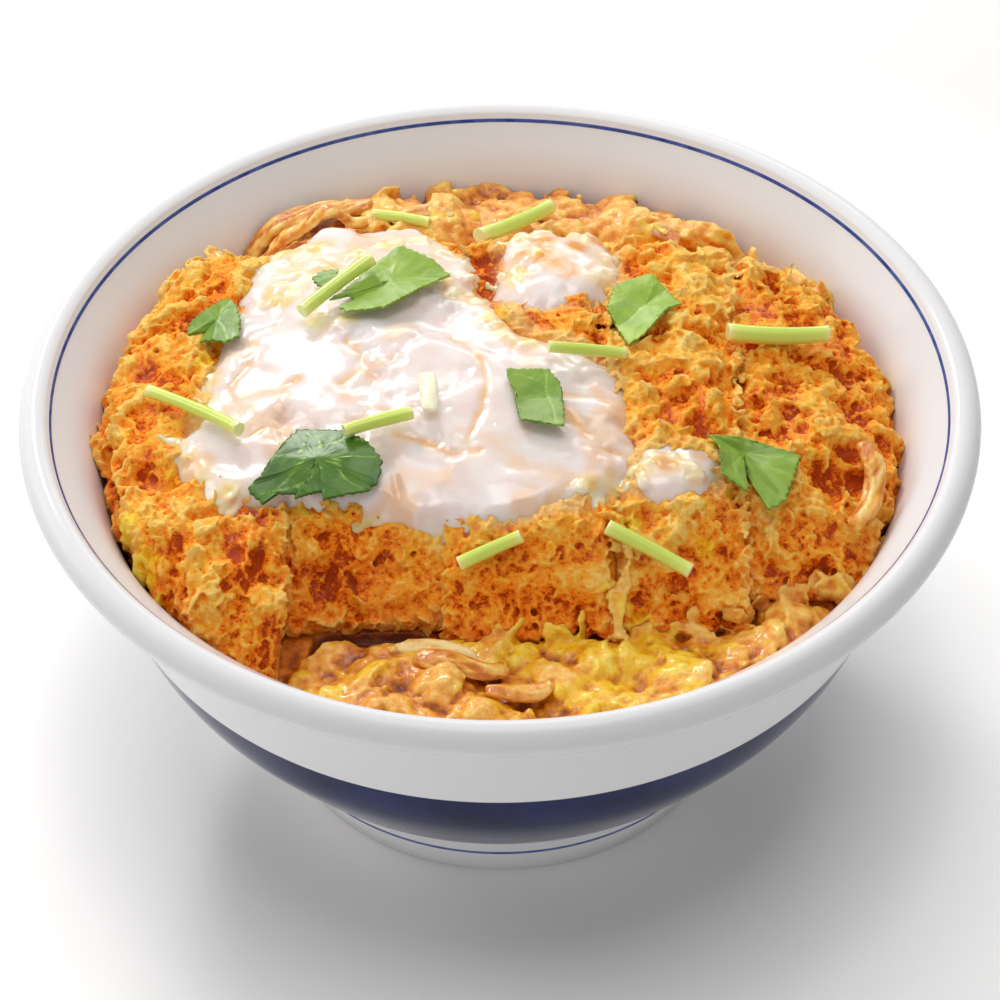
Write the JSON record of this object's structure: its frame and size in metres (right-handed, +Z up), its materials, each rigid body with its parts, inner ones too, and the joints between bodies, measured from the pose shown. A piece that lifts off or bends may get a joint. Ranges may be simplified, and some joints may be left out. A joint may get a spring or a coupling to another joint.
{
  "type": "katsudon in its bowl",
  "caption": "Bowl of egg and onion over rice with a sliced breaded pork cutlet, soft egg white and cut mitsuba, in a footed white porcelain bowl with blue bands.",
  "frame": {"origin": "middle of the flat underside of the bowl's foot, at the bottom of the bounding box", "axes": "+Z up along the bowl's axis, +X to the right across the cutlet's slices, -Y towards the eater"},
  "size_m": [0.1672, 0.1672, 0.0887],
  "materials": {
    "porcelain": "glossy white glaze with a blue line inside the lip, a broad dark blue band outside and a blue line on the foot",
    "egg_and_onion": "moist, glossy, set egg with brown and yellow patches",
    "crust": "crisp crumb soaked with broth, orange brown with golden ridges, moist in the pits",
    "egg_white": "soft half-set egg white, glossy and a little translucent",
    "onion": "simmered, glossy, translucent",
    "mitsuba_leaf": "fresh leaf with a satin face and pale veins",
    "mitsuba_stem": "fresh stem, smooth, pale yellow green"
  },
  "bodies": {
    "root": {"bowl": "porcelain", "egg_onion_bed": "egg_and_onion", "cutlet_slice_1": "crust", "cutlet_slice_2": "crust", "cutlet_slice_3": "crust", "cutlet_slice_4": "crust", "cutlet_slice_5": "crust", "egg_white_main": "egg_white", "egg_white_back": "egg_white", "egg_white_right": "egg_white", "onion_back_outer": "onion", "onion_back_inner": "onion", "onion_front_large": "onion", "onion_front_small": "onion", "onion_right": "onion", "onion_chip": "onion", "leaf_1": "mitsuba_leaf", "leaf_2": "mitsuba_leaf", "leaf_3": "mitsuba_leaf", "leaf_4": "mitsuba_leaf", "leaf_5": "mitsuba_leaf", "leaf_6": "mitsuba_leaf", "leaf_7": "mitsuba_leaf", "stem_1": "mitsuba_stem", "stem_2": "mitsuba_stem", "stem_3": "mitsuba_stem", "stem_4": "mitsuba_stem", "stem_5": "mitsuba_stem", "stem_6": "mitsuba_stem", "stem_7": "mitsuba_stem", "stem_8": "mitsuba_stem", "stem_9": "mitsuba_stem"}
  },
  "joints": []
}
